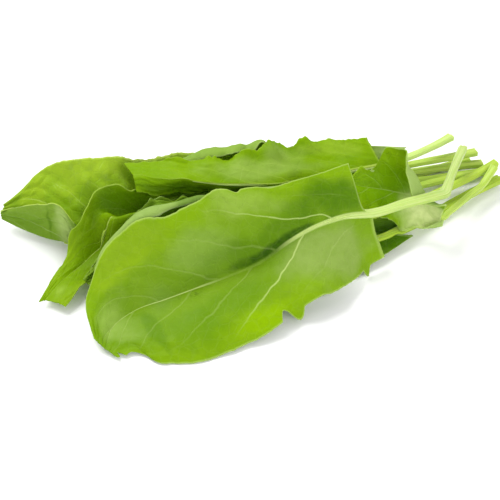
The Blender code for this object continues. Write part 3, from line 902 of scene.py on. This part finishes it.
# The dark leaf
# A narrow leaf in the shade between its neighbours, folded like a gutter, its far half standing.
# Seen between the bright low leaf and the scroll of the rolled one.
points = blade_points("dark", 150, 75, 41, ruffle=1.4, ruffles=18, nibble=1.2, crumple=1.5)
line, radius = lay_leaf("dark", points)
add_blade("dark", points,
          leaf_paint("dark_face", (0.13, 0.26, 0.005), (0.21, 0.36, 0.02), (0.24, 0.39, 0.03),
                     (0.36, 0.50, 0.16), sheen=0.45, seed=0.51),
          leaf_paint("dark_back", (0.20, 0.33, 0.06), (0.26, 0.40, 0.09), (0.30, 0.44, 0.10),
                     (0.46, 0.60, 0.26), sheen=0.6, glow=0.25, seed=0.52))
add_stalk("dark", line, radius, (0.48, 0.62, 0.10), (0.30, 0.46, 0.03), (0.39, 0.53, 0.06), 29)


# The back leaf
# A leaf at the far side of the pile whose far half is scrolled over: the scroll shows as a
# grey-green band of underside behind the upper leaf, crinkled at its right end.
points = blade_points("back", 150, 91, 47, ruffle=0.9, ruffles=14, crumple=1.0,
                      far_width=(17, 19, 22, 28, 36, 37, 34, 24, 4), far_roll=(0, 60, 140, 160, 80),
                      far_lobe=28, far_turn=0.7,
                      tears=((1, 0.52, 3, -3.0), (1, 0.47, 3, 2.5), (1, 0.43, 4, -5.0)),
                      flaps=((1, 0.52, 4, 2.0), (1, 0.455, 6, -5.5)))
line, radius = lay_leaf("back", points)
add_blade("back", points,
          leaf_paint("back_face", (0.16, 0.30, 0.01), (0.24, 0.40, 0.02), (0.30, 0.46, 0.04),
                     (0.50, 0.64, 0.24), seed=0.61,
                     tints_and_painted_light=((0.0, 0.95, 0.08, 0.35, (0.46, 0.60, 0.20), 1.0),)),
          leaf_paint("back_back", (0.20, 0.36, 0.03), (0.28, 0.44, 0.06), (0.30, 0.46, 0.07),
                     (0.50, 0.64, 0.22), sheen=0.55, glow=0.25, seed=0.62))
add_stalk("back", line, radius, (0.53, 0.66, 0.15), (0.33, 0.48, 0.04), (0.43, 0.57, 0.09), 31)


# The upper leaf
# The long bright leaf across the top of the pile. Its far half faces the light and its margin is
# finely ruffled, with pale grey-green patches of painted sheen in its middle; its near half is
# folded under along the midrib, in the dark, and painted dark there as painted shade.
points = blade_points("upper", 190, 91, 53, ruffle=1.3, ruffles=26, crisp=9, nibble=1.8, quilt=0.35,
                      crumple=0.8, near=(-40, -95, -105, -100, -45),
                      near_width=(7, 9, 10, 11, 11, 11, 10, 10, 10),
                      near_roll=(0, -20, -20, 0), far_tip=7, near_tip=-3,
                      far_width=(19, 21, 23, 25, 22, 20, 17, 14, 9),
                      tears=((1, 0.335, 7, 4.5), (1, 0.24, 5, 1.5)))
line, radius = lay_leaf("upper", points, 0.2)
add_blade("upper", points,
          leaf_paint("upper_face", (0.19, 0.38, 0.001), (0.28, 0.48, 0.003), (0.25, 0.44, 0.002),
                     (0.50, 0.67, 0.10), sheen=0.4, glow=0.35, seed=0.71, strong=(0.1, 0.22),
                     # the two grey-green patches on the far half are painted sheen; the dark band along
                     # the near half is painted shade
                     tints_and_painted_light=((0.46, 0.72, 0.32, 0.24, (0.36, 0.53, 0.09), 0.8),
                            (0.30, 0.66, 0.20, 0.16, (0.31, 0.48, 0.07), 0.7),
                            (0.15, 0.85, 0.14, 0.16, (0.34, 0.53, 0.03), 0.8),
                            (0.5, 0.2, 0.9, 0.28, (0.05, 0.12, 0.002), 0.9))),
          leaf_paint("upper_back", (0.24, 0.38, 0.05), (0.33, 0.48, 0.08), (0.36, 0.50, 0.10),
                     (0.52, 0.66, 0.28), sheen=0.6, glow=0.3, seed=0.72))
add_stalk("upper", line, radius, (0.60, 0.73, 0.26), (0.40, 0.57, 0.10), (0.51, 0.66, 0.18), 33)


# The rolled leaf
# The leaf under the front one. Its far margin is scrolled over toward the viewer, so its underside
# shows as a long grey-green band beside the front leaf.
points = blade_points("rolled", 160, 99, 59, ruffle=0.4, nibble=0.3, quilt=0.2, swell=0.5, crumple=0.5,
                      far_width=(22, 26, 28, 32, 37, 42, 42, 30, 5), far=(30, 42, 46, 50, 34),
                      far_roll=(60, 150, 200, 210, 120), far_power=5)
line, radius = lay_leaf("rolled", points)
add_blade("rolled", points,
          leaf_paint("rolled_face", (0.08, 0.19, 0.003), (0.14, 0.29, 0.01), (0.22, 0.38, 0.02),
                     (0.46, 0.60, 0.20), seed=0.81),
          leaf_paint("rolled_back", (0.20, 0.34, 0.05), (0.30, 0.45, 0.09), (0.34, 0.49, 0.12),
                     (0.54, 0.67, 0.30), sheen=0.55, glow=0.22, seed=0.82, strong=(0.2, 0.12),
                     tints_and_painted_light=((0.47, 0.95, 0.09, 0.4, (0.15, 0.27, 0.03), 0.9),)))
add_stalk("rolled", line, radius, (0.47, 0.61, 0.09), (0.29, 0.44, 0.02), (0.38, 0.52, 0.05), 35)


# The curled leaf
# A small young leaf beside the front leaf's base, curled up on its midrib: dark inside the curl,
# pale on the outer side, with one rounded lobe hanging below the stalks, painted very pale there as
# painted light.
points = blade_points("curled", 100, 91, 61, ruffle=0.7, ruffles=7, nibble=0.5, quilt=0.25, veins=4,
                      rib=((101, 31, 23), (93, 36, 23.5), (84, 41, 23.5), (75, 44.5, 24), (64, 46, 25),
                           (54, 46, 26)),
                      near_width=(5, 21, 23, 16, 16, 18, 14), near_lobe=3, near_turn=0.7,
                      far_lobe=4, crumple=0.5, tears=((1, 0.80, 6, 11.0),))
line, radius = lay_leaf("curled", points, path=((137, 77, 9), (123, 59, 12), (111, 43.5, 14)))
add_blade("curled", points,
          leaf_paint("curled_face", (0.15, 0.32, 0.001), (0.24, 0.43, 0.003), (0.28, 0.47, 0.005),
                     (0.50, 0.66, 0.18), veins=4, seed=0.91, strong=(0.2, 0.12),
                     # the very pale patch at the base of the near half is painted light on the hanging
                     # lobe
                     rib=0.4, tints_and_painted_light=((0.05, 0.28, 0.5, 0.62, (0.80, 0.90, 0.38), 1.0),)),
          leaf_paint("curled_back", (0.34, 0.50, 0.10), (0.44, 0.60, 0.17), (0.46, 0.62, 0.18),
                     (0.60, 0.74, 0.32), sheen=0.55, glow=0.3, veins=4, seed=0.92))
add_stalk("curled", line, radius, (0.51, 0.65, 0.13), (0.31, 0.47, 0.04), (0.41, 0.55, 0.08), 37)


# The front leaf
# The biggest leaf, on top of the pile: an oblong blade with a short split and a rolled tab in its
# near margin, a pale midrib that is broad at the base, and a flattened, ridged stalk with a kink.
points = blade_points("front", 220, 131, 67, ruffle=0.9, ruffles=8, nibble=0.5,
                      swell=0.9, groove=0.3, hump=1.3, crumple=0.7,
                      near=(-75, -22, -2, 2, -2), near_roll=(0, -22, -42, -42, -18),
                      far=(62, 64, 62, 56, 32), far_roll=(-20, -42, -42, -33, -20),
                      far_width=(27, 25, 29, 43, 43, 39, 36, 25, 7), far_lobe=-9, far_turn=0.3,
                      near_lobe=7,
                      tears=((-1, 0.425, 3, 4.5), (-1, 0.395, 3, -6.0), (-1, 0.06, 3.5, -5.0),
                             (-1, 0.95, 6, 3.5), (-1, 0.985, 1.5, 4.0), (1, 0.34, 3, 2.5)),
                      flaps=((-1, 0.395, 5, -2.0),))
line, radius = lay_leaf("front", points, 0.3,
                            path=((120, 87, 22), (111.5, 63, 25.5), (103.6, 39, 29), (101.6, 33.5, 30),
                                  (100.3, 31, 30.4), (97.5, 29.6, 31), (82, 24, 31)), kink=0.6)
add_blade("front", points,
          leaf_paint("front_face", (0.17, 0.33, 0.004), (0.25, 0.43, 0.018), (0.25, 0.44, 0.002),
                     (0.56, 0.70, 0.22), sheen=0.42, glow=0.32, seed=1.01, bruise=(0.60, 0.47, 0.055),
                     # the fading of the pale midrib along the fold and the dark zones along the midrib,
                     # at the base of the far half and in a crease across the near half toward the tip
                     # are painted shade in the fold and the crease; the pale grey-green zones are
                     # painted sheen; the clear yellow-green zones at the margins are painted light
                     # shining through
                     strong=(0.17, 0.14), veins=5, main=1.0, shaded_rib=(0.22, 0.32, 0.45, 0.6),
                     tints_and_painted_light=((0.16, 0.25, 0.22, 0.30, (0.33, 0.47, 0.10), 0.9),
                            (0.50, 0.72, 0.16, 0.20, (0.28, 0.45, 0.06), 0.8),
                            (0.68, 0.50, 0.12, 0.16, (0.22, 0.38, 0.045), 0.7),
                            (0.09, 0.74, 0.15, 0.28, (0.09, 0.21, 0.002), 0.95),
                            (0.88, 0.56, 0.12, 0.30, (0.33, 0.50, 0.08), 0.9),
                            (0.755, 0.28, 0.035, 0.26, (0.11, 0.25, 0.003), 0.55),
                            (0.34, 0.88, 0.14, 0.16, (0.34, 0.51, 0.07), 0.85),
                            (0.62, 0.24, 0.12, 0.20, (0.15, 0.31, 0.006), 0.7),
                            (0.47, 0.30, 0.13, 0.16, (0.15, 0.31, 0.003), 0.65),
                            (0.44, 0.08, 0.16, 0.14, (0.30, 0.52, 0.0), 0.9),
                            (0.74, 0.90, 0.2, 0.16, (0.30, 0.49, 0.012), 0.9),
                            (0.30, 0.60, 0.26, 0.14, (0.10, 0.22, 0.003), 0.7),
                            (0.33, 0.535, 0.27, 0.045, (0.02, 0.07, 0.001), 0.9),
                            (0.55, 0.54, 0.20, 0.10, (0.15, 0.29, 0.01), 0.6))),
          leaf_paint("front_back", (0.24, 0.38, 0.06), (0.32, 0.47, 0.10), (0.34, 0.50, 0.11),
                     (0.54, 0.67, 0.30), sheen=0.6, glow=0.28, seed=1.02))
add_stalk("front", line, radius, (0.54, 0.64, 0.24), (0.34, 0.49, 0.08), (0.46, 0.59, 0.16), 39,
          broad=(0.78, 0.8, 0.8, 0.84, 1.2, 1.3, 1.25, 1.2, 1.15, 1))


# The table, the light and the camera
# A plain white table top in a bright white studio: one large soft light above and behind to the
# left, a weaker one from the front, and white all round. The camera looks down on the bunch.
select_none()
bpy.ops.mesh.primitive_plane_add(size=8, location=(0, 0, -0.0001))
floor = bpy.context.object
floor.name = "table_top"
white = Paint("white_table")
matt = white.node("ShaderNodeBsdfPrincipled", {}, {
    "Base Color": (0.93, 0.93, 0.93, 1), "Roughness": 0.7})
floor.data.materials.append(white.surface(matt))

world = bpy.data.worlds.new("studio")
bpy.context.scene.world = world
world.use_nodes = True
backdrop = world.node_tree.nodes["Background"]
backdrop.inputs["Color"].default_value = (1, 1, 1, 1)
backdrop.inputs["Strength"].default_value = 0.75

for name, place, aim, power in (
        ("key", (-0.55, 0.55, 1.1), (-0.02, 0, 0), 16),
        ("front", (0.5, -1.0, 0.6), (0, 0, 0), 8)):
    bpy.ops.object.light_add(type="AREA", location=place)
    lamp = bpy.context.object
    lamp.name = name + "_light"
    lamp.data.shape = "DISK"
    lamp.data.size = 0.9
    lamp.data.energy = power
    away = np.array(place) - np.array(aim)
    lamp.rotation_euler = (math.atan2(math.hypot(away[0], away[1]), away[2]), 0,
                           math.atan2(away[1], away[0]) + math.pi / 2)

bpy.ops.object.camera_add(location=(-0.0044, -0.4810, 0.4057),
                          rotation=(math.radians(50), 0, 0))
camera = bpy.context.object
camera.data.lens = 85
camera.data.sensor_width = 36
bpy.context.scene.camera = camera
bpy.context.scene.view_settings.view_transform = "Standard"
